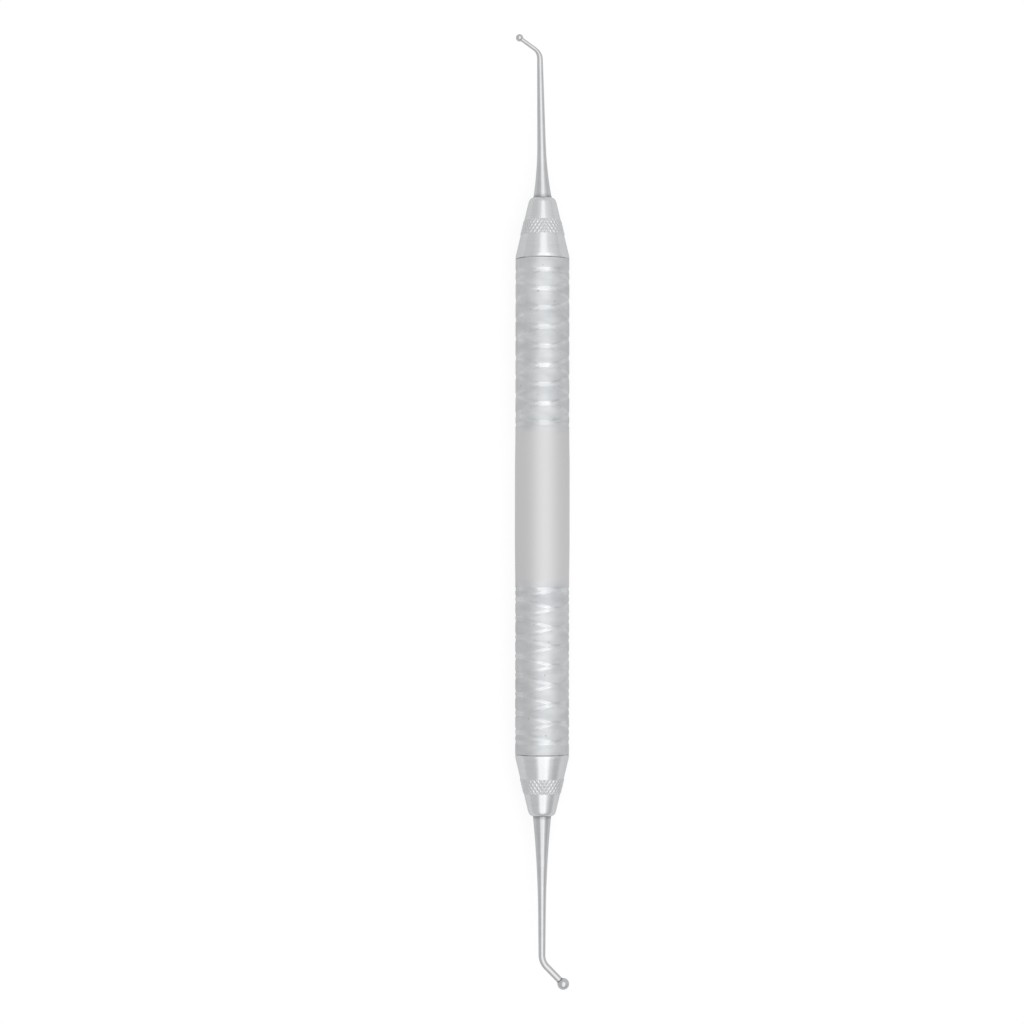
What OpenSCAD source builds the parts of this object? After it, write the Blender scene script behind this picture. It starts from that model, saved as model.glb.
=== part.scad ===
/* [Handle] */
// Length of the handle tube between its two end faces
handle_l = 90; // [80:0.5:110]
// Diameter over the two grooved grips and the plain rims beside them
grip_d = 9.8; // [9:0.1:12]
// Diameter of the plain middle band, a little fatter than the grips
band_d = 9.95; // [9.85:0.05:12]
// Wall of the tube outside the grooves
wall = 0.7; // [0.5:0.05:1.5]
// Length of the gentle cone between a grip and the middle band
band_blend_l = 8; // [2:0.5:10]
// Broken edge at each joint line
edge = 0.1; // [0.05:0.01:0.2]

/* [Grip grooves] */
// Plain rim between the end of the handle and the first groove's middle
rim_l = 2.25; // [1:0.05:5]
// Height of one cell of the groove net, measured along the handle
groove_pitch = 3.45; // [2.5:0.05:4]
// Cells along each grip
groove_cells = 8; // [4:1:8]
// Width of a groove
groove_w = 0.85; // [0.5:0.05:1]
// Depth of a groove
groove_depth = 0.08; // [0.05:0.01:0.2]
// Turn of the net in the grip at the small ball's end, from straight up toward the large ball's side
small_grip_angle = 6; // [-90:1:90]
// Turn of the net in the grip at the large ball's end
large_grip_angle = 33; // [-90:1:90]

/* [Cones] */
// Length of a cone from the handle's end face to its nose
cone_l = 11.2; // [9:0.1:16]
// Diameter of a cone where it meets the handle
cone_d = 9.8; // [9:0.1:9.8]
// Diameter of the nose before its edge is rounded
nose_d = 4.7; // [4.4:0.1:6]
// Length of the rounding along the cone beside its nose
nose_round_l = 1; // [0.5:0.1:1.5]
// Length of the straight rim at the foot of a cone
cone_rim_l = 0.5; // [0.3:0.1:1.5]
// Distance of the knurled band from the foot of a cone
knurl_z = 4.4; // [2.5:0.05:5]
// Width of the knurled band
knurl_w = 2.7; // [1.5:0.05:3.5]
// Diamonds around the knurled band
knurl_count = 32; // [24:1:40]
// Height of a diamond's point above the cone
knurl_rise = 0.12; // [0.05:0.01:0.15]
// Length of the spigot that is pressed into the handle
spigot_l = 6; // [4:0.5:12]
// Clearance on the radius of each pressed fit
fit = 0.01; // [0:0.005:0.05]

/* [Small ball end] */
// Diameter of the small ball
small_ball_d = 1.34; // [1:0.02:2]
// Length of the shank from the nose to the corner of its bend
small_shank_l = 26.5; // [20:0.1:35]
// Distance from the corner of the bend to the ball's centre
small_tip_l = 4.57; // [3.5:0.01:6]
// Angle of the bend
small_bend_angle = 52.8; // [20:0.1:70]
// Lean of the whole shank toward the side of its bend
small_lean_angle = 1.1; // [0:0.1:3]
// Diameter of the shank at the nose
small_root_d = 3.34; // [2.8:0.02:3.8]
// Centreline radius of the bend
small_bend_r = 2.4; // [1.5:0.1:3.5]
// Diameter of the wire where it enters the bend
small_wire_d = 1.05; // [0.8:0.01:1.3]
// Diameter of the thinner wire from the bend to the ball
small_tip_d = 0.74; // [0.4:0.02:1]
// Length of the flared root
small_flare_l = 10; // [5:0.5:18]
// Extra diameter at the root of the slow taper that runs on to the bend
small_taper_d = 0.8; // [0.3:0.05:1]

/* [Large ball end] */
// Diameter of the large ball
large_ball_d = 2.16; // [1.6:0.02:3]
// Length of the shank from the nose to the corner of its bend
large_shank_l = 26.6; // [20:0.1:35]
// Distance from the corner of the bend to the ball's centre
large_tip_l = 5.57; // [4:0.01:7]
// Angle of the bend
large_bend_angle = 44.3; // [20:0.1:70]
// Lean of the whole shank toward the side of its bend
large_lean_angle = 0; // [0:0.1:3]
// Diameter of the shank at the nose
large_root_d = 3.34; // [2.8:0.02:3.8]
// Centreline radius of the bend
large_bend_r = 3; // [1.5:0.1:3.5]
// Diameter of the wire where it enters the bend
large_wire_d = 1.24; // [0.8:0.01:1.5]
// Diameter of the wire from the bend to the ball
large_tip_d = 1.22; // [0.6:0.02:1.4]
// Length of the flared root
large_flare_l = 18; // [5:0.5:20]
// Extra diameter at the root of the slow taper that runs on to the bend
large_taper_d = 0.5; // [0.3:0.05:1]

/* [Shanks] */
// Diameter of the tang inside the cone
tang_d = 2.4; // [1.8:0.1:2.8]
// Length of the tang inside the cone
tang_l = 9; // [6:0.5:12]

/* [Hidden] */
$fn = 64;
steel = [0.74, 0.75, 0.76];
polished = [0.82, 0.83, 0.84];

// Radii of the handle
grip_r = grip_d / 2;
band_r = band_d / 2;
bore_r = grip_r - wall;
floor_r = grip_r - groove_depth;
// The tube under a grip's skin, and the hidden inner side of that skin
skin_bed = 0.1;
core_r = floor_r - skin_bed;
skin_r = (bore_r + core_r) / 2;

// The groove net: two waves to a turn, and neighbouring lines closer than groove_gap run as one groove
grip_columns = 40;
groove_lines = 2 * groove_cells;
groove_gap = 0.2;
wave_height = groove_pitch / 4 - groove_gap / 2;
wave_flat = 0.7;
grip_l = groove_cells * groove_pitch + 2 * groove_gap;
grip_top = handle_l / 2 - rim_l;
// How far the skin of a grip reaches into the solid rim beside it, and how far it lies under the rim there
skin_overlap = 0.1;
skin_step = 0.015;

// The knurl: rows of diamonds staggered by half, with a buried row at each end
knurl_rows = 5;
knurl_inset = 0.1;
knurl_bed = 0.2;
knurl_valley = 0.08;

// The collar on which a shank stands, room under the tang in its bore, and the way of the bore past the nose
collar_l = 0.3;
tang_room = 0.3;
bore_exit = 1;
flare_steps = 12;
// The bend is this much thicker on the radius than the wire, and laps over it by this angle at each end
bend_crease = 0.015;
bend_lap = 2;
bend_columns = 24;
bend_rows = 10;

function clamped(value, low, high) = max(low, min(high, value));
function toward(a, b) = (b - a) / norm(b - a);

// A curve that rounds the corner b between a and c, from reach_a before the corner to reach_c past it
function blended(a, b, c, reach_a, reach_c, steps = 5) =
    let (p = b + reach_a * toward(b, a), q = b + reach_c * toward(b, c))
    [for (i = [0 : steps]) let (t = i / steps) (1 - t) * (1 - t) * p + 2 * t * (1 - t) * b + t * t * q];

// Triangles between each row of points and the next, and where closed is 1 from the last row to the first.
// A quad is split along its other diagonal where flip is 1 and its row and column add up to an odd number
function ring_faces(rows, columns, flip = 0, closed = 1) = [
    for (i = [0 : rows - 2 + closed], j = [0 : columns - 1])
        let (
            a = i * columns + j,
            b = i * columns + (j + 1) % columns,
            c = ((i + 1) % rows) * columns + (j + 1) % columns,
            d = ((i + 1) % rows) * columns + j,
            turned = flip * (i + j) % 2
        )
        each (turned == 1 ? [[a, d, b], [b, d, c]] : [[a, c, b], [a, d, c]])
];

// Lays the upright model down about the middle of its band, with the small ball's end toward +Y
module laid_down() {
    rotate([-90, 0, 0])
        children();
}

// Turns the far end of the upright model round, for the large ball's end
module far_end() {
    rotate([180, 0, 0])
        children();
}

// Height of groove line k at an angle a from the net's own turn. The first and last lines are straight
function wave(a) = clamped((1 - acos(cos(2 * a)) / 90) / wave_flat, -1, 1);
function line_z(k, a) =
    k == 0 ? 0
    : k > groove_lines ? grip_l - groove_gap
    : groove_gap / 2 + (k - 0.5) * groove_pitch / 2 + (k % 2 == 0 ? 1 : -1) * wave_height * wave(a);

// A point on the floor (side 0) or on one edge (side -1 or 1) of groove line k, as radius and height.
// Between two lines that come together the land sinks to the grooves' floor
function groove_point(k, side, a) =
    let (
        z = line_z(k, a),
        gap = side == 0 ? groove_gap : abs(line_z(k + side, a) - z),
        rise = clamped((gap - groove_gap) / (groove_w - groove_gap), 0, 1)
    )
    [floor_r + rise * groove_depth, z + side * min(groove_w / 2, 0.4 * gap)];

// The net's columns turn about the axis; a radius and a height become a point
function around(p, a) = [p[0] * cos(a), p[0] * sin(a), p[1]];

// The grooved skin of one grip, standing on its first groove line, with its inner side inside the tube's wall
module grip_skin(turn) {
    profiles = [
        for (j = [0 : grip_columns - 1])
            let (a = j * 360 / grip_columns)
            concat(
                [[floor_r, -groove_gap / 2 - skin_overlap]],
                [for (side = [0 : 1]) groove_point(0, side, a)],
                [for (k = [1 : groove_lines], side = [-1 : 1]) groove_point(k, side, a)],
                [for (side = [-1 : 0]) groove_point(groove_lines + 1, side, a)],
                [for (z = [grip_l - groove_gap / 2 + skin_overlap]) each [[floor_r, z], [skin_r, z]]],
                [[skin_r, -groove_gap / 2 - skin_overlap]]
            )
    ];
    rows = len(profiles[0]);
    points = [
        for (i = [0 : rows - 1], j = [0 : grip_columns - 1])
            around(profiles[j][i], turn - 90 + j * 360 / grip_columns)
    ];
    polyhedron(points, ring_faces(rows, grip_columns), convexity = 10);
}

// Half of the tube's outline, from its middle to one end: band, gentle cone, grip core, rim
function tube_side() =
    let (
        rim_groove = grip_top,
        band_groove = grip_top - grip_l,
        slope = groove_w / 2 + groove_gap / 2
    )
    [
        [band_r, 0],
        [band_r, band_groove - slope - band_blend_l],
        [grip_r, band_groove - slope],
        [floor_r + skin_step, band_groove],
        [core_r, band_groove],
        [core_r, rim_groove],
        [floor_r + skin_step, rim_groove],
        [grip_r, rim_groove + slope],
        [grip_r, handle_l / 2 - edge],
        [grip_r - edge, handle_l / 2],
        [bore_r, handle_l / 2]
    ];

module handle_tube() {
    color(steel)
        laid_down()
            union() {
                for (end = [0, 1])
                    mirror([0, 0, end])
                        rotate_extrude()
                            polygon(concat([[bore_r, 0]], tube_side()));
                translate([0, 0, grip_top - grip_l + groove_gap / 2])
                    grip_skin(small_grip_angle);
                translate([0, 0, groove_gap / 2 - grip_top])
                    grip_skin(large_grip_angle);
            }
}

// Radius of the cone's straight taper at a height above its foot
function taper_r(z) = (cone_d + (nose_d - cone_d) * (z - cone_rim_l) / (cone_l - cone_rim_l)) / 2;

// The diamond knurl, with a buried row at each end and an inner edge inside the cone
module knurl_band() {
    columns = 2 * knurl_count;
    row_h = (knurl_w + 2 * knurl_inset) / knurl_rows;
    function height(i, j) =
        i == 0 || i == knurl_rows ? -knurl_inset
        : (i + j) % 2 == 0 ? -knurl_valley
        : knurl_rise;
    points = concat(
        [
            for (i = [0 : knurl_rows], j = [0 : columns - 1])
                let (z = knurl_z - knurl_inset + i * row_h)
                around([taper_r(z) + height(i, j), z], j * 360 / columns)
        ],
        [
            for (j = [0 : columns - 1])
                let (z = knurl_z + knurl_w / 2)
                around([taper_r(z) - 4 * knurl_bed, z], j * 360 / columns)
        ]
    );
    polyhedron(points, ring_faces(knurl_rows + 2, columns, 1), convexity = 10);
}

// One cone, upright on the handle's end face: spigot, rim, taper with a bed for the knurl, rounded nose, bore
module cone() {
    spigot_r = bore_r - fit;
    rim = [cone_d / 2, cone_rim_l];
    nose = [nose_d / 2, cone_l];
    knurl_end = knurl_z + knurl_w;
    difference() {
        union() {
            rotate_extrude()
                polygon(concat(
                    [
                        [0, -spigot_l],
                        [spigot_r - 2 * edge, -spigot_l],
                        [spigot_r, 2 * edge - spigot_l],
                        [spigot_r, 0],
                        [cone_d / 2 - edge, 0],
                        [cone_d / 2, edge]
                    ],
                    blended([cone_d / 2, edge], rim, nose, cone_rim_l - 2 * edge, cone_rim_l - 2 * edge),
                    [
                        [taper_r(knurl_z), knurl_z],
                        [taper_r(knurl_z) - knurl_bed, knurl_z],
                        [taper_r(knurl_end) - knurl_bed, knurl_end],
                        [taper_r(knurl_end), knurl_end]
                    ],
                    blended(rim, nose, [0, cone_l], nose_round_l, (nose_d - small_root_d) / 2 - edge / 2),
                    [[0, cone_l]]
                ));
            knurl_band();
        }
        translate([0, 0, cone_l - tang_l - tang_room])
            cylinder(h = tang_l + tang_room + bore_exit, r = tang_d / 2 + fit);
    }
}

// Radius of a shank's round body at a height above the nose
function shank_r(z, straight, root_d, wire_d, flare_l, taper_d) =
    let (
        slow = taper_d * (1 - z / straight),
        flare = (root_d - wire_d - taper_d) * pow(1 - min(z / flare_l, 1), 2)
    )
    (wire_d + slow + flare) / 2;

// A bend from +Z toward +X that narrows smoothly from one wire to the next, lapping over both
module tapered_bend(bend, bend_r, from_r, to_r) {
    points = [
        for (i = [0 : bend_rows], j = [0 : bend_columns - 1])
            let (
                a = -bend_lap + i * (bend + 2 * bend_lap) / bend_rows,
                t = clamped(a / bend, 0, 1),
                r = from_r + (to_r - from_r) * t * t * (3 - 2 * t) + bend_crease,
                spin = j * 360 / bend_columns,
                arm = bend_r - r * cos(spin)
            )
            [bend_r - arm * cos(a), r * sin(spin), arm * sin(a)]
    ];
    caps = [
        [for (j = [0 : bend_columns - 1]) j],
        [for (j = [0 : bend_columns - 1]) len(points) - 1 - j]
    ];
    polyhedron(points, concat(ring_faces(bend_rows + 1, bend_columns, closed = 0), caps), convexity = 10);
}

// One shank, upright on the cone's nose and bent toward +X: tang, collar, flared body, bend, tip and ball
module shank(length, root_d, flare_l, taper_d, wire_d, tip_d, bend_r, bend, lean, tip_l, ball_d) {
    corner_l = bend_r * tan(bend / 2);
    straight = length - corner_l;
    function body_point(z) = [shank_r(z, straight, root_d, wire_d, flare_l, taper_d), z];
    start = collar_l * 2 / 3;
    translate([0, 0, -tang_l])
        cylinder(h = tang_l + collar_l / 3, d = tang_d);
    cylinder(h = collar_l, d = root_d);
    rotate([0, lean, 0]) {
        rotate_extrude()
            polygon(concat(
                [[0, start]],
                [for (i = [0 : flare_steps]) body_point(start + i * (flare_l - start) / flare_steps)],
                [body_point(straight), [0, straight]]
            ));
        translate([0, 0, straight])
            tapered_bend(bend, bend_r, wire_d / 2, tip_d / 2);
        translate([0, 0, length])
            rotate([0, bend, 0]) {
                translate([0, 0, corner_l])
                    cylinder(h = tip_l - corner_l, d = tip_d);
                translate([0, 0, tip_l])
                    sphere(d = ball_d);
            }
    }
}

module small_end_cone() {
    color(polished)
        laid_down()
            translate([0, 0, handle_l / 2])
                cone();
}

module large_end_cone() {
    color(polished)
        laid_down()
            far_end()
                translate([0, 0, handle_l / 2])
                    cone();
}

module small_ball_shank() {
    color(polished)
        laid_down()
            translate([0, 0, handle_l / 2 + cone_l])
                rotate([0, 0, 180])
                    shank(small_shank_l, small_root_d, small_flare_l, small_taper_d, small_wire_d,
                        small_tip_d, small_bend_r, small_bend_angle, small_lean_angle,
                        small_tip_l, small_ball_d);
}

module large_ball_shank() {
    color(polished)
        laid_down()
            far_end()
                translate([0, 0, handle_l / 2 + cone_l])
                    shank(large_shank_l, large_root_d, large_flare_l, large_taper_d, large_wire_d,
                        large_tip_d, large_bend_r, large_bend_angle, large_lean_angle,
                        large_tip_l, large_ball_d);
}

handle_tube();
small_end_cone();
large_end_cone();
small_ball_shank();
large_ball_shank();
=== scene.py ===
import math

import bpy
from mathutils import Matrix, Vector


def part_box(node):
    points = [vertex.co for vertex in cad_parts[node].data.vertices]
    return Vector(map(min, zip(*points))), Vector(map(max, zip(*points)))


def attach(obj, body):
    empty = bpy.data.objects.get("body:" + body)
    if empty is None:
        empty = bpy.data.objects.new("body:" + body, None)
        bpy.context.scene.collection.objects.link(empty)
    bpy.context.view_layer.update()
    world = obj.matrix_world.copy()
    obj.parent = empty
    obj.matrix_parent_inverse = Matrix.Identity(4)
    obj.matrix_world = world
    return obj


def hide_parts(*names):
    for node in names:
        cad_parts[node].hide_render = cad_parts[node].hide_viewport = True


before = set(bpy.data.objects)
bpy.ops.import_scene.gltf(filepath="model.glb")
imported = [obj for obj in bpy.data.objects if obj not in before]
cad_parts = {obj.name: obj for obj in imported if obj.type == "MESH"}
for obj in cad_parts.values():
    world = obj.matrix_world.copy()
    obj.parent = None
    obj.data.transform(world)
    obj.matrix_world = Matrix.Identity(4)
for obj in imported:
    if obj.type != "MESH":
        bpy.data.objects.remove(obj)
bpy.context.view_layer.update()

MM = 0.001

# Places from the frame, in metres. The handle's axis runs along Y
handle_low, handle_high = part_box("handle_tube")
small_cone_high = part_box("small_end_cone")[1]
large_cone_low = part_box("large_end_cone")[0]
small_shank_low, small_shank_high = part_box("small_ball_shank")
large_shank_low, large_shank_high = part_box("large_ball_shank")
band_r = (handle_high[0] - handle_low[0]) / 2
axis_z = handle_low[2] + band_r
handle_l = handle_high[1] - handle_low[1]
handle_middle = (handle_high[1] + handle_low[1]) / 2
cone_l = small_cone_high[1] - handle_high[1]

# The handle's own sizes
GRIP_R = 4.9 * MM
BORE_R = 4.2 * MM
BAND_BLEND = 8.0 * MM
EDGE = 0.1 * MM
EDGE_RING = 1
RIM_L = 2.25 * MM
GROOVE_PITCH = 3.45 * MM
GROOVE_CELLS = 8
GROOVE_W = 0.85 * MM
GROOVE_DEPTH = 0.08 * MM
GROOVE_GAP = 0.2 * MM
GROOVE_LINES = 2 * GROOVE_CELLS + 1
BREAK_FROM, BREAK_TO = 0.85, 1.15
GROOVE_STEPS = (0.0, 0.3, 0.6, BREAK_FROM, 1.0, BREAK_TO)
WAVE_FLAT = 0.7
SMALL_GRIP_TURN = 6
LARGE_GRIP_TURN = 33
HANDLE_COLUMNS = 200
BAND_STEPS = 6

# Faces that meet at more than this angle, in degrees, keep a sharp edge between them
SHARP_ANGLE = 38

# The fine marks in the surfaces. Most values of a noise lie between its low and high
NOISE_LOW, NOISE_HIGH = 0.3, 0.7
SCORE_PITCH = 0.4 * MM
SCORE_WANDER = 9.0
SCORE_RISE = 0.005 * MM
GRAIN_RISE = 0.003 * MM
TURNED_RISE = 0.001 * MM
POLISH_RISE = 0.0006 * MM

# The cones' own sizes
CONE_R = 4.9 * MM
NOSE_R = 2.35 * MM
NOSE_ROUND_L = 1.0 * MM
NOSE_ROUND_R = 0.63 * MM
CONE_RIM = 0.5 * MM
KNURL_START = 4.4 * MM
KNURL_W = 2.7 * MM
KNURL_INSET = 0.1 * MM
KNURL_COUNT = 32
KNURL_RISE = 0.11 * MM
KNURL_VALLEY = 0.03 * MM
KNURL_GUARD = 0.03 * MM
KNURL_FADE = 0.12
KNURL_ROWS = 5
KNURL_FINE = 6
KNURL_STEPS = 36
KNURL_ROW_H = (KNURL_W + 2 * KNURL_INSET) / KNURL_ROWS
KNURL_FIRST = KNURL_INSET / KNURL_ROW_H
NOSE_HOLE_R = 1.0 * MM
RIM_STEPS = 6
FOOT_STEPS = 5
NECK_STEPS = 6
NOSE_STEPS = 12

# The shanks' own sizes
COLLAR_L = 0.3 * MM
CREASE_L = 0.25 * MM
# Strengths of the painted shade on the shanks: a dark ring at the nose and collar, and a faint shade
# over the balls
NOSE_PAINTED_SHADE = 0.6
COLLAR_PAINTED_SHADE = 0.4
BALL_PAINTED_SHADE = 0.05
SHANK_SIDES = 72
SHAFT_STEPS = 40
SHAFT_CROWD = 1.3
BEND_STEPS = 20
WIRE_STEPS = 10
FILLET_STEPS = 8
BALL_ROWS = 32
POLE_GAP = 0.02

# The two ends, with their angles in degrees
small_end = dict(
    ball_r=0.67 * MM, length=26.5 * MM, bend=52.8, bend_r=2.4 * MM, lean=1.1, root_r=1.67 * MM,
    wire_r=0.525 * MM, tip_r=0.37 * MM, flare_l=10 * MM, taper=0.4 * MM, fillet=0.22 * MM,
)
large_end = dict(
    ball_r=1.08 * MM, length=26.6 * MM, bend=44.3, bend_r=3.0 * MM, lean=0.0, root_r=1.67 * MM,
    wire_r=0.62 * MM, tip_r=0.61 * MM, flare_l=18 * MM, taper=0.25 * MM, fillet=0.0,
)

# The floor's half width in metres, and its colour and glow
FLOOR_HALF = 3.0
FLOOR_PAPER = 0.24
FLOOR_GLOW = 0.81


# Mesh helpers

def ring_mesh(name, rows, loop=False):
    """A mesh of rings of points, each joined to the next, and the last to the first for a loop."""
    columns = len(rows[0])
    points = [p for row in rows for p in row]
    faces = []
    for i in range(len(rows) if loop else len(rows) - 1):
        a, b = i * columns, (i + 1) % len(rows) * columns
        for j in range(columns):
            k = (j + 1) % columns
            faces.append((a + j, a + k, b + k, b + j))
    mesh = bpy.data.meshes.new(name)
    mesh.from_pydata(points, [], faces)
    mesh.update()
    mesh.shade_smooth()
    mesh.set_sharp_from_angle(angle=math.radians(SHARP_ANGLE))
    piece = bpy.data.objects.new(name, mesh)
    bpy.context.collection.objects.link(piece)
    return piece


def on_axis(radius, along, turn):
    """A point round the handle's axis. Turn 0 is up, and it grows toward +X."""
    a = math.radians(turn)
    return Vector((radius * math.sin(a), along, axis_z + radius * math.cos(a)))


def lerp(a, b, t):
    return a + (b - a) * t


def clamp(value, low, high):
    return max(low, min(high, value))


def mark(piece, name, values):
    """Stores a number for each point, which a material can read."""
    store = piece.data.attributes.new(name, "FLOAT", "POINT")
    store.data.foreach_set("value", values)


def give_second(piece, columns, rings):
    """Gives the piece's second material to some of its rings of faces."""
    for face in piece.data.polygons:
        if face.index // columns in rings:
            face.material_index = 1


def dress(piece, slot, node, *materials):
    """Gives a piece its materials and its place in the frame, and hides the part of the model that it
    stands for.
    """
    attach(piece, "root")
    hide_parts(node)
    for material in materials:
        piece.data.materials.append(material)


# Materials

def new_material(name, color, roughness):
    """A metal with a plain colour and roughness, which stay wherever nothing is linked over them."""
    material = bpy.data.materials.new(name)
    material.use_nodes = True
    nodes, links = material.node_tree.nodes, material.node_tree.links
    shader = nodes["Principled BSDF"]
    shader.inputs["Base Color"].default_value = (*color, 1)
    shader.inputs["Metallic"].default_value = 1.0
    shader.inputs["Roughness"].default_value = roughness
    shader.inputs["Specular Tint"].default_value = (0.8, 0.8, 0.8, 1)
    return material, nodes, links, shader


def noise(nodes, links, scale, stretch=(1, 1, 1), detail=3.0):
    """Noise in the object's own metres, squeezed along the axes whose stretch is over 1."""
    place = nodes.new("ShaderNodeTexCoord")
    mapping = nodes.new("ShaderNodeMapping")
    mapping.inputs["Scale"].default_value = stretch
    texture = nodes.new("ShaderNodeTexNoise")
    texture.inputs["Scale"].default_value = scale
    texture.inputs["Detail"].default_value = detail
    links.new(place.outputs["Object"], mapping.inputs["Vector"])
    links.new(mapping.outputs["Vector"], texture.inputs["Vector"])
    return texture.outputs["Fac"]


def ranged(nodes, links, value, low, high, start=NOISE_LOW, end=NOISE_HIGH):
    """A value between start and end, brought to between low and high."""
    spread = nodes.new("ShaderNodeMapRange")
    spread.inputs["From Min"].default_value = start
    spread.inputs["From Max"].default_value = end
    spread.inputs["To Min"].default_value = low
    spread.inputs["To Max"].default_value = high
    links.new(value, spread.inputs["Value"])
    return spread.outputs["Result"]


def tinted(nodes, links, shader, value, dark, light):
    """A base colour that runs from dark to light with a value."""
    ramp = nodes.new("ShaderNodeValToRGB")
    ramp.color_ramp.elements[0].position = NOISE_LOW
    ramp.color_ramp.elements[0].color = (*dark, 1)
    ramp.color_ramp.elements[1].position = NOISE_HIGH
    ramp.color_ramp.elements[1].color = (*light, 1)
    links.new(value, ramp.inputs["Fac"])
    links.new(ramp.outputs["Color"], shader.inputs["Base Color"])


def bumped(nodes, links, shader, value, height):
    """Bumps the surface by a value times a height in metres."""
    bump = nodes.new("ShaderNodeBump")
    bump.inputs["Strength"].default_value = 1.0
    bump.inputs["Distance"].default_value = height
    links.new(value, bump.inputs["Height"])
    links.new(bump.outputs["Normal"], shader.inputs["Normal"])


def combined(nodes, links, operation, a, b=0.0):
    """The result of a math node on two values, each a socket or a number."""
    step = nodes.new("ShaderNodeMath")
    step.operation = operation
    for socket, value in zip(step.inputs, (a, b)):
        if isinstance(value, (int, float)):
            socket.default_value = value
        else:
            links.new(value, socket)
    return step.outputs[0]


def marked(nodes, name):
    """The number that a piece's points carry under a name."""
    read = nodes.new("ShaderNodeAttribute")
    read.attribute_name = name
    return read.outputs["Fac"]


def blended(nodes, links, factor, plain, other):
    """A value that changes to another one as the factor grows to 1."""
    mix = nodes.new("ShaderNodeMix")
    mix.inputs["B"].default_value = other
    links.new(factor, mix.inputs["Factor"])
    links.new(plain, mix.inputs["A"])
    return mix.outputs["Result"]


def recolored(nodes, links, shader, factor, color):
    """Turns the base colour to another one as the factor grows to 1."""
    mix = nodes.new("ShaderNodeMix")
    mix.data_type = "RGBA"
    mix.inputs[7].default_value = (*color, 1)
    links.new(factor, mix.inputs[0])
    links.new(shader.inputs["Base Color"].links[0].from_socket, mix.inputs[6])
    links.new(mix.outputs[2], shader.inputs["Base Color"])


def specks(nodes, links, scale, size, share):
    """1 in small spots, one in each cell of a share of the cells, and 0 elsewhere."""
    place = nodes.new("ShaderNodeTexCoord")
    cells = nodes.new("ShaderNodeTexVoronoi")
    cells.inputs["Scale"].default_value = scale
    links.new(place.outputs["Object"], cells.inputs["Vector"])
    chosen = combined(nodes, links, "LESS_THAN", cells.outputs["Color"], share)
    near = ranged(nodes, links, cells.outputs["Distance"], 1.0, 0.0, size / 2, size)
    return combined(nodes, links, "MULTIPLY", near, chosen)


def satin_steel():
    """Blasted land with faint clouds and specks, scored grooves, and a plainer band."""
    material, nodes, links, shader = new_material("satin_steel", (0.53, 0.543, 0.554), 0.54)
    speck_color, band_color = (0.36, 0.36, 0.365), (0.603, 0.6, 0.609)
    band_rough, groove_rough = 0.64, 0.2
    cut, band = marked(nodes, "cut"), marked(nodes, "band")
    grain = noise(nodes, links, scale=9000, detail=2.0)
    turning = noise(nodes, links, scale=1200, stretch=(0.05, 1, 0.05))
    clouds = noise(nodes, links, scale=420, stretch=(0.7, 1.2, 0.7), detail=4.0)
    tinted(nodes, links, shader, clouds, (0.49, 0.505, 0.515), (0.602, 0.611, 0.623))
    spots = specks(nodes, links, scale=650, size=0.12, share=0.3)
    recolored(nodes, links, shader, spots, speck_color)
    recolored(nodes, links, shader, band, band_color)
    land = ranged(nodes, links, turning, low=0.52, high=0.6)
    land = blended(nodes, links, band, land, band_rough)
    wander = combined(nodes, links, "MULTIPLY", clouds, SCORE_WANDER)
    phase = combined(nodes, links, "MULTIPLY", marked(nodes, "across"), 2 * math.pi / SCORE_PITCH)
    waves = combined(nodes, links, "SINE", combined(nodes, links, "ADD", phase, wander))
    gloss = ranged(nodes, links, waves, low=0.45, high=1.0, start=-0.4, end=0.4)
    bright = combined(nodes, links, "MULTIPLY", cut, gloss)
    links.new(blended(nodes, links, bright, land, groove_rough), shader.inputs["Roughness"])
    cut_waves = combined(nodes, links, "MULTIPLY", waves, cut)
    scores = combined(nodes, links, "MULTIPLY", cut_waves, SCORE_RISE)
    fine = combined(nodes, links, "MULTIPLY", grain, GRAIN_RISE)
    bumped(nodes, links, shader, combined(nodes, links, "ADD", scores, fine), 1.0)
    return material


def turned_steel():
    """Finely turned metal, with a duller knurl."""
    material, nodes, links, shader = new_material("turned_steel", (0.55, 0.561, 0.571), 0.24)
    knurl_rough = 0.4
    rings = noise(nodes, links, scale=4000, stretch=(0.02, 1, 0.02))
    clouds = noise(nodes, links, scale=420, detail=4.0)
    turned_rough = ranged(nodes, links, rings, low=0.2, high=0.28)
    rough = blended(nodes, links, marked(nodes, "cut"), turned_rough, knurl_rough)
    links.new(rough, shader.inputs["Roughness"])
    tone = combined(nodes, links, "MULTIPLY", combined(nodes, links, "ADD", rings, clouds), 0.5)
    tinted(nodes, links, shader, tone, (0.53, 0.541, 0.551), (0.59, 0.601, 0.611))
    bumped(nodes, links, shader, rings, TURNED_RISE)
    return material


def polished_steel():
    """Polished metal, glossier on the balls, with painted shade at the cones and the large ball's neck,
    and faintly over the balls.
    """
    material, nodes, links, shader = new_material("polished_steel", (0.46, 0.465, 0.47), 0.18)
    painted_shade_color, ball_rough = (0.16, 0.16, 0.165), 0.08
    smear = noise(nodes, links, scale=500)
    fine = noise(nodes, links, scale=5000, stretch=(1, 0.1, 1))
    wire_rough = ranged(nodes, links, smear, low=0.15, high=0.22)
    rough = blended(nodes, links, marked(nodes, "ball"), wire_rough, ball_rough)
    links.new(rough, shader.inputs["Roughness"])
    tinted(nodes, links, shader, smear, (0.452, 0.459, 0.466), (0.492, 0.499, 0.506))
    # Painted shade: dark rings at the cones' noses and at the large ball's neck, and a faint shade over
    # the balls
    recolored(nodes, links, shader, marked(nodes, "stain_and_painted_shade"), painted_shade_color)
    bumped(nodes, links, shader, fine, POLISH_RISE)
    return material


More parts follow.
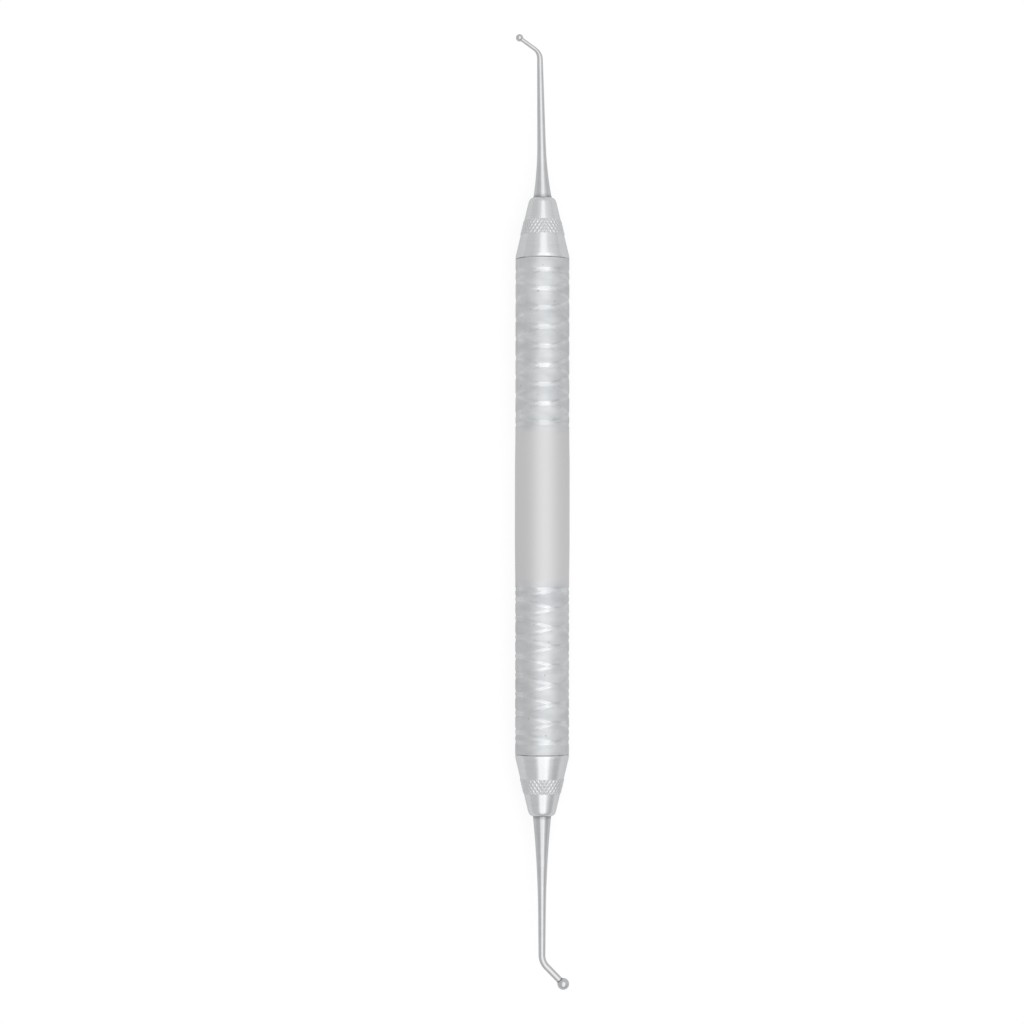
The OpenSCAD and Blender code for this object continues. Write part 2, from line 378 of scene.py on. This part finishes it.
def joint_steel():
    """The broken edges of the seam between the tube and its cones, dark in places."""
    material, nodes, links, shader = new_material("joint_line", (0.3, 0.3, 0.3), 0.6)
    stain_and_painted_shade = noise(nodes, links, scale=450)
    tinted(nodes, links, shader, stain_and_painted_shade, (0.38, 0.38, 0.385), (0.62, 0.62, 0.625))
    return material


# The handle: a tube whose grips carry a net of shallow grooves

def wave(turn):
    """Two waves to a turn, straight on their flanks and flat on top."""
    climb = 1 - math.degrees(math.acos(math.cos(math.radians(2 * turn)))) / 90
    return clamp(climb / WAVE_FLAT, -1, 1)


def groove_height(line, turn):
    """How far a groove line lies along the grip from its first, straight line."""
    if line == 0:
        return 0.0
    if line == GROOVE_LINES:
        return GROOVE_CELLS * GROOVE_PITCH + GROOVE_GAP
    rise = (GROOVE_PITCH / 4 - GROOVE_GAP / 2) * wave(turn)
    middle = GROOVE_GAP / 2 + (line - 0.5) * GROOVE_PITCH / 2
    return middle + rise if line % 2 == 0 else middle - rise


def groove_cut(distance):
    """Depth of a groove at a distance from its middle: a round floor with slightly broken edges."""
    t = distance / (GROOVE_W / 2)
    if t >= BREAK_TO:
        return 0.0
    if t > BREAK_FROM:
        broken = (BREAK_TO - t) / (BREAK_TO - BREAK_FROM)
        return GROOVE_DEPTH * (1 - BREAK_FROM ** 2) * broken ** 2
    return GROOVE_DEPTH * (1 - t * t)


def between_lines(line, turn):
    """Heights of the rows between two groove lines, and their distances from the nearer line."""
    low, high = groove_height(line, turn), groove_height(line + 1, turn)
    half = (high - low) / 2
    count = len(GROOVE_STEPS)
    offsets = [min(step * GROOVE_W / 2, half * i / count) for i, step in enumerate(GROOVE_STEPS)]
    rows = [(low + d, d) for d in offsets]
    rows.append((low + half, half))
    rows += [(high - d, d) for d in reversed(offsets[1:])]
    return rows


def grip_rows(start, net_turn, turns):
    """All rows of one grip: lists of (radius, along, distance from a groove's middle)."""
    columns = []
    for turn in turns:
        column = []
        for line in range(GROOVE_LINES):
            column += between_lines(line, turn - net_turn)
        column.append((groove_height(GROOVE_LINES, turn), 0.0))
        columns.append(column)
    return [
        [(GRIP_R - groove_cut(d), start + height, d) for height, d in row]
        for row in zip(*columns)
    ]


def band_radius(distance):
    """Radius of the middle band at a distance from the groove beside it."""
    t = clamp(distance / BAND_BLEND, 0, 1)
    return lerp(GRIP_R, band_r, t * t * (3 - 2 * t))


def ringed(outline):
    """Rows with the same point all round the handle."""
    return [[p] * HANDLE_COLUMNS for p in outline]


def mirrored(outline):
    """The same outline at the handle's other end."""
    return [(r, -y, d) for r, y, d in reversed(outline)]


def make_handle():
    """A closed tube, from the large ball's end. Each point is (radius, along, distance)."""
    turns = [360 * j / HANDLE_COLUMNS for j in range(HANDLE_COLUMNS)]
    grip_l = GROOVE_CELLS * GROOVE_PITCH + GROOVE_GAP
    slope = [step * GROOVE_W / 2 for step in GROOVE_STEPS[1:]]
    end = handle_l / 2
    outer = end - RIM_L
    bore = (BORE_R, -end, end)
    chamfer = [(GRIP_R - EDGE, -end, end), (GRIP_R, EDGE - end, end)]
    rim = chamfer + [(GRIP_R - groove_cut(d), -outer - d, d) for d in reversed(slope)]
    start = grip_l - outer
    half_band = [(GRIP_R - groove_cut(d), start + d, d) for d in slope]
    for i in range(1, BAND_STEPS + 1):
        d = BAND_BLEND * i / BAND_STEPS
        half_band.append((band_radius(d), start + slope[-1] + d, slope[-1] + d))
    rows = ringed([bore] + rim) + grip_rows(-outer, LARGE_GRIP_TURN, turns)
    rows += ringed(half_band)
    band_low, band_high = len(rows) - BAND_STEPS, len(rows) + BAND_STEPS
    rows += ringed(mirrored(half_band)) + grip_rows(outer - grip_l, SMALL_GRIP_TURN, turns)
    rows += ringed(mirrored([bore] + rim))
    points = [
        [on_axis(r, handle_middle + y, turn) for (r, y, _), turn in zip(row, turns)]
        for row in rows
    ]
    piece = ring_mesh("handle", points, loop=True)
    across = [p[2] for row in rows for p in row]
    mark(piece, "across", across)
    mark(piece, "cut", [groove_cut(d) / GROOVE_DEPTH for d in across])
    mark(piece, "band", [float(band_low <= i < band_high) for i in range(len(rows)) for _ in turns])
    dress(piece, "satin_steel", "handle_tube", satin, joint)
    give_second(piece, HANDLE_COLUMNS, {EDGE_RING, len(rows) - 2 - EDGE_RING})


# The cones

def taper_r(height):
    """The cone's radius at a height over its foot, without knurl."""
    return lerp(CONE_R, NOSE_R, (height - CONE_RIM) / (cone_l - CONE_RIM))


def knurl_height(u, v):
    """Height over the cone on the knurl's grid: round-topped diamonds between slanting grooves."""
    slants = [abs(math.sin(math.pi * (u + v) / 2)), abs(math.sin(math.pi * (u - v) / 2))]
    edge = clamp(min(v - KNURL_FIRST, KNURL_ROWS - KNURL_FIRST - v) / KNURL_FADE, 0, 1)
    return edge * lerp(-KNURL_VALLEY, KNURL_RISE, min(slants))


def rounded(start, corner, end, steps):
    """Points of a curve that rounds a corner of the outline."""
    curve = []
    for i in range(steps + 1):
        t = i / steps
        p = (1 - t) ** 2 * start + 2 * t * (1 - t) * corner + t * t * end
        curve.append((p.x, p.y))
    return curve


def cone_profile():
    """The cone's outline below and above the knurl, as heights and radii from its foot."""
    foot = [(0, BORE_R), (0, CONE_R - EDGE), (EDGE, CONE_R)]
    rim, nose = Vector((CONE_RIM, CONE_R)), Vector((cone_l, NOSE_R))
    reach = CONE_RIM - 2 * EDGE
    slope = (nose - rim).normalized()
    rim_end = rim + reach * slope
    rim_curve = rounded(rim - Vector((reach, 0)), rim, rim_end, RIM_STEPS)
    bottom = KNURL_START - KNURL_GUARD
    below = [lerp(rim_end.x, bottom, i / FOOT_STEPS) for i in range(1, FOOT_STEPS + 1)]
    nose_start = nose - NOSE_ROUND_L * slope
    top = KNURL_START + KNURL_W + KNURL_GUARD
    above = [lerp(top, nose_start.x, i / NECK_STEPS) for i in range(NECK_STEPS)]
    nose_curve = rounded(nose_start, nose, nose - Vector((0, NOSE_ROUND_R)), NOSE_STEPS)
    low_part = foot + rim_curve + [(h, taper_r(h)) for h in below]
    high_part = [(h, taper_r(h)) for h in above] + nose_curve
    return low_part, high_part


def make_cone(name, node, foot_y, way):
    """A cone with a knurled band. way is the sense in which it points along Y."""
    columns = 2 * KNURL_COUNT * KNURL_FINE
    below, above = cone_profile()
    rows = [[p] * columns for p in below]
    knurl_low = len(rows)
    for i in range(KNURL_STEPS + 1):
        h = KNURL_START + KNURL_W * i / KNURL_STEPS
        v = KNURL_FIRST + (h - KNURL_START) / KNURL_ROW_H
        rows.append([(h, taper_r(h) + knurl_height(j / KNURL_FINE, v)) for j in range(columns)])
    knurl_high = len(rows)
    rows += [[p] * columns for p in above]
    rows.append([(cone_l, NOSE_HOLE_R)] * columns)
    points = [
        [on_axis(r, foot_y + way * h, way * 360 * j / columns) for j, (h, r) in enumerate(row)]
        for row in rows
    ]
    piece = ring_mesh(name, points)
    knurled = [float(knurl_low <= i < knurl_high) for i in range(len(rows))]
    mark(piece, "cut", [value for value in knurled for _ in range(columns)])
    dress(piece, "fine_turned_steel", node, turned, joint)
    give_second(piece, columns, {EDGE_RING})


# The shanks

def shank_radius(s, straight, end):
    """The straight part's radius at a distance from the nose: a slow taper, and a flare at the root."""
    slow = end["taper"] * (1 - s / straight)
    flare = (end["root_r"] - end["wire_r"] - end["taper"]) * (1 - min(s / end["flare_l"], 1)) ** 2
    return end["wire_r"] + slow + flare


def tip_outline(start, centre, tip_r, ball_r, fillet):
    """Places, radii and painted shade along the tip: the wire, a fillet where there is one, and the
    ball.
    """
    away = math.sqrt((ball_r + fillet) ** 2 - (tip_r + fillet) ** 2)
    meet = math.asin((tip_r + fillet) / (ball_r + fillet))
    neck = centre - away
    # A ring of painted shade where the wire meets the ball, when there is no fillet
    crease_shade = 0.0 if fillet else 1.0
    outline = []
    for i in range(1, WIRE_STEPS + 1):
        outline.append((lerp(start, neck - CREASE_L, i / WIRE_STEPS), tip_r, 0.0))
    outline.append((neck, tip_r, crease_shade))
    if fillet:
        for i in range(1, FILLET_STEPS + 1):
            a = (math.pi / 2 - meet) * i / FILLET_STEPS
            outline.append((neck + fillet * math.sin(a), tip_r + fillet * (1 - math.cos(a)), 0.0))
    # The ball carries a faint painted shade all over
    for i in range(1, BALL_ROWS + 1):
        a = lerp(meet, math.pi - POLE_GAP, i / BALL_ROWS)
        stain_and_painted_shade = max(crease_shade, BALL_PAINTED_SHADE) if i == 1 else BALL_PAINTED_SHADE
        outline.append((centre - ball_r * math.cos(a), ball_r * math.sin(a), stain_and_painted_shade))
    return outline


def make_shank(name, node, nose_y, way, side, end, ball):
    """One swept surface from nose to ball. way is its sense along Y, side the bend's along X."""
    bend, lean = math.radians(end["bend"]), math.radians(end["lean"])
    bend_r, tip_r, ball_r, fillet = end["bend_r"], end["tip_r"], end["ball_r"], end["fillet"]
    corner_l = bend_r * math.tan(bend / 2)
    straight = end["length"] - corner_l
    nose = Vector((0, nose_y, axis_z))

    def local(across, along):
        """A point in the plane of the bend, with the shank's lean."""
        x = across * math.cos(lean) + along * math.sin(lean)
        y = along * math.cos(lean) - across * math.sin(lean)
        return nose + Vector((side * x, way * y, 0))

    tip_l = (ball - local(0, end["length"])).length
    out = Vector((math.sin(bend), math.cos(bend)))
    # Painted shade at the shank's root beside the cone's nose, fading along the collar
    stations = [(0, 0, 0, end["root_r"], NOSE_PAINTED_SHADE), (0, COLLAR_L, 0, end["root_r"], COLLAR_PAINTED_SHADE)]
    for i in range(SHAFT_STEPS + 1):
        s = lerp(COLLAR_L, straight, (i / SHAFT_STEPS) ** SHAFT_CROWD)
        stain_and_painted_shade = COLLAR_PAINTED_SHADE * clamp(2 - s / COLLAR_L, 0, 1)
        stations.append((0, s, 0, shank_radius(s, straight, end), stain_and_painted_shade))
    for i in range(1, BEND_STEPS + 1):
        t = i / BEND_STEPS
        a = bend * t
        radius = lerp(end["wire_r"], tip_r, t * t * (3 - 2 * t))
        stations.append((bend_r * (1 - math.cos(a)), straight + bend_r * math.sin(a), a, radius, 0.0))
    for s, radius, stain_and_painted_shade in tip_outline(corner_l, tip_l, tip_r, ball_r, fillet):
        stations.append((s * out.x, end["length"] + s * out.y, bend, radius, stain_and_painted_shade))
    rows = []
    for across, along, angle, radius, _ in stations:
        row = []
        for j in range(SHANK_SIDES):
            t = way * side * 2 * math.pi * j / SHANK_SIDES
            shift = radius * math.cos(t)
            p = local(across + shift * math.cos(angle), along - shift * math.sin(angle))
            row.append(p + Vector((0, 0, radius * math.sin(t))))
        rows.append(row)
    piece = ring_mesh(name, rows)
    # The painted shade goes to the material as a number for each point
    mark(piece, "stain_and_painted_shade", [stain_and_painted_shade for *_, stain_and_painted_shade in stations for _ in range(SHANK_SIDES)])
    on_ball = [float(i >= len(stations) - BALL_ROWS) for i in range(len(stations))]
    mark(piece, "ball", [value for value in on_ball for _ in range(SHANK_SIDES)])
    dress(piece, "polished_steel", node, polished)


# Floor, light and camera

def seen_white(nodes, links, strength):
    """A strength that is there only for what the camera sees, directly or in metal or glass."""
    path = nodes.new("ShaderNodeLightPath").outputs
    direct = combined(nodes, links, "MAXIMUM", path["Is Camera Ray"], path["Is Glossy Ray"])
    through = combined(nodes, links, "MAXIMUM", direct, path["Is Transmission Ray"])
    return combined(nodes, links, "MULTIPLY", through, strength)


def make_floor():
    """A large pale sheet that the handle lies on, and that keeps its shadow."""
    mesh = bpy.data.meshes.new("floor")
    half, level = FLOOR_HALF, axis_z - band_r
    corners = [(-half, -half, level), (half, -half, level), (half, half, level), (-half, half, level)]
    mesh.from_pydata(corners, [], [(0, 1, 2, 3)])
    floor = bpy.data.objects.new("floor", mesh)
    bpy.context.collection.objects.link(floor)
    material = bpy.data.materials.new("floor")
    material.use_nodes = True
    nodes, links = material.node_tree.nodes, material.node_tree.links
    nodes.clear()
    paper = nodes.new("ShaderNodeBsdfDiffuse")
    paper.inputs["Color"].default_value = (FLOOR_PAPER, FLOOR_PAPER, FLOOR_PAPER, 1)
    glow = nodes.new("ShaderNodeEmission")
    add = nodes.new("ShaderNodeAddShader")
    output = nodes.new("ShaderNodeOutputMaterial")
    links.new(seen_white(nodes, links, FLOOR_GLOW), glow.inputs["Strength"])
    links.new(paper.outputs[0], add.inputs[0])
    links.new(glow.outputs[0], add.inputs[1])
    links.new(add.outputs[0], output.inputs["Surface"])
    mesh.materials.append(material)


def make_world():
    """Pale surroundings, darker toward the large ball's end and most so on its right."""
    world = bpy.data.worlds.new("studio")
    world.use_nodes = True
    nodes, links = world.node_tree.nodes, world.node_tree.links
    background = nodes["Background"]
    place = nodes.new("ShaderNodeTexCoord")
    split = nodes.new("ShaderNodeSeparateXYZ")
    links.new(place.outputs["Generated"], split.inputs["Vector"])
    large_end_shade, small_end_shade, corner_shade = 0.835, 0.925, 0.3
    # The floor is lit by the base strength alone. Camera and metal see the sum of the two
    base_strength, seen_strength = 0.6, 0.4
    shade = ranged(nodes, links, split.outputs["Y"], large_end_shade, small_end_shade, -1.0, 1.0)
    right = combined(nodes, links, "MAXIMUM", split.outputs["X"], 0.0)
    beyond = combined(nodes, links, "MINIMUM", split.outputs["Y"], 0.0)
    both = combined(nodes, links, "MULTIPLY", right, beyond)
    corner = combined(nodes, links, "MULTIPLY", both, corner_shade)
    links.new(combined(nodes, links, "ADD", shade, corner), background.inputs["Color"])
    strength = combined(nodes, links, "ADD", seen_white(nodes, links, seen_strength), base_strength)
    links.new(strength, background.inputs["Strength"])
    bpy.context.scene.world = world


def soft_light(name, shape, lean, half_x, half_y, shift_y, radiance):
    """A soft box 1 m from the handle's axis, leaned toward +X. Lean and half sizes are in degrees."""
    distance = 1.0
    data = bpy.data.lights.new(name, "AREA")
    data.shape = shape
    data.size = 2 * distance * math.tan(math.radians(half_x))
    data.size_y = 2 * distance * math.tan(math.radians(half_y))
    area = data.size * data.size_y
    if shape == "ELLIPSE":
        area *= math.pi / 4
    data.energy = radiance * math.pi * area
    lamp = bpy.data.objects.new(name, data)
    a = math.radians(lean)
    lamp.location = (distance * math.sin(a), shift_y, distance * math.cos(a))
    lamp.rotation_euler = (0, a, 0)
    bpy.context.collection.objects.link(lamp)


def make_lights():
    """A broad key from above, two weaker boxes that soften it, and one more low on the right."""
    soft_light("key_box", "ELLIPSE", lean=6.25, half_x=28.9, half_y=51.3, shift_y=-0.27, radiance=0.69)
    soft_light("wide_box", "ELLIPSE", lean=-7.2, half_x=31.9, half_y=58.8, shift_y=0.53, radiance=0.11)
    soft_light("fill_box", "ELLIPSE", lean=34, half_x=21.7, half_y=45.6, shift_y=-0.27, radiance=0.28)
    soft_light("side_box", "RECTANGLE", lean=53, half_x=19.4, half_y=41.8, shift_y=0.75, radiance=0.13)


def make_camera():
    """Straight down on the instrument, from 0.45 m, with the photo's framing."""
    pixel = 0.182 * MM
    frame_px = 1024
    axis_px = 542.2
    roll = 0.0008
    middle_px = 507.0
    level_px = 588
    distance = 450 * MM
    sensor = 36
    data = bpy.data.cameras.new("camera")
    data.sensor_width = sensor
    data.lens = sensor * distance / (frame_px * pixel)
    data.shift_x = (frame_px / 2 - axis_px) / frame_px
    data.shift_y = (level_px - frame_px / 2) / frame_px
    camera = bpy.data.objects.new("camera", data)
    camera.location = (0, handle_middle + (middle_px - level_px) * pixel, axis_z + distance)
    camera.rotation_euler = (0, 0, roll)
    bpy.context.collection.objects.link(camera)
    bpy.context.scene.camera = camera


make_camera()
satin, turned, polished, joint = satin_steel(), turned_steel(), polished_steel(), joint_steel()
make_handle()
make_cone("small_cone", "small_end_cone", handle_high[1], 1)
make_cone("large_cone", "large_end_cone", handle_low[1], -1)
small_r, large_r = small_end["ball_r"], large_end["ball_r"]
small_ball = Vector((small_shank_low[0] + small_r, small_shank_high[1] - small_r, axis_z))
large_ball = Vector((large_shank_high[0] - large_r, large_shank_low[1] + large_r, axis_z))
make_shank("small_shank", "small_ball_shank", small_cone_high[1], 1, -1, small_end, small_ball)
make_shank("large_shank", "large_ball_shank", large_cone_low[1], -1, 1, large_end, large_ball)
make_floor()
make_world()
make_lights()
bpy.context.scene.view_settings.view_transform = "Standard"
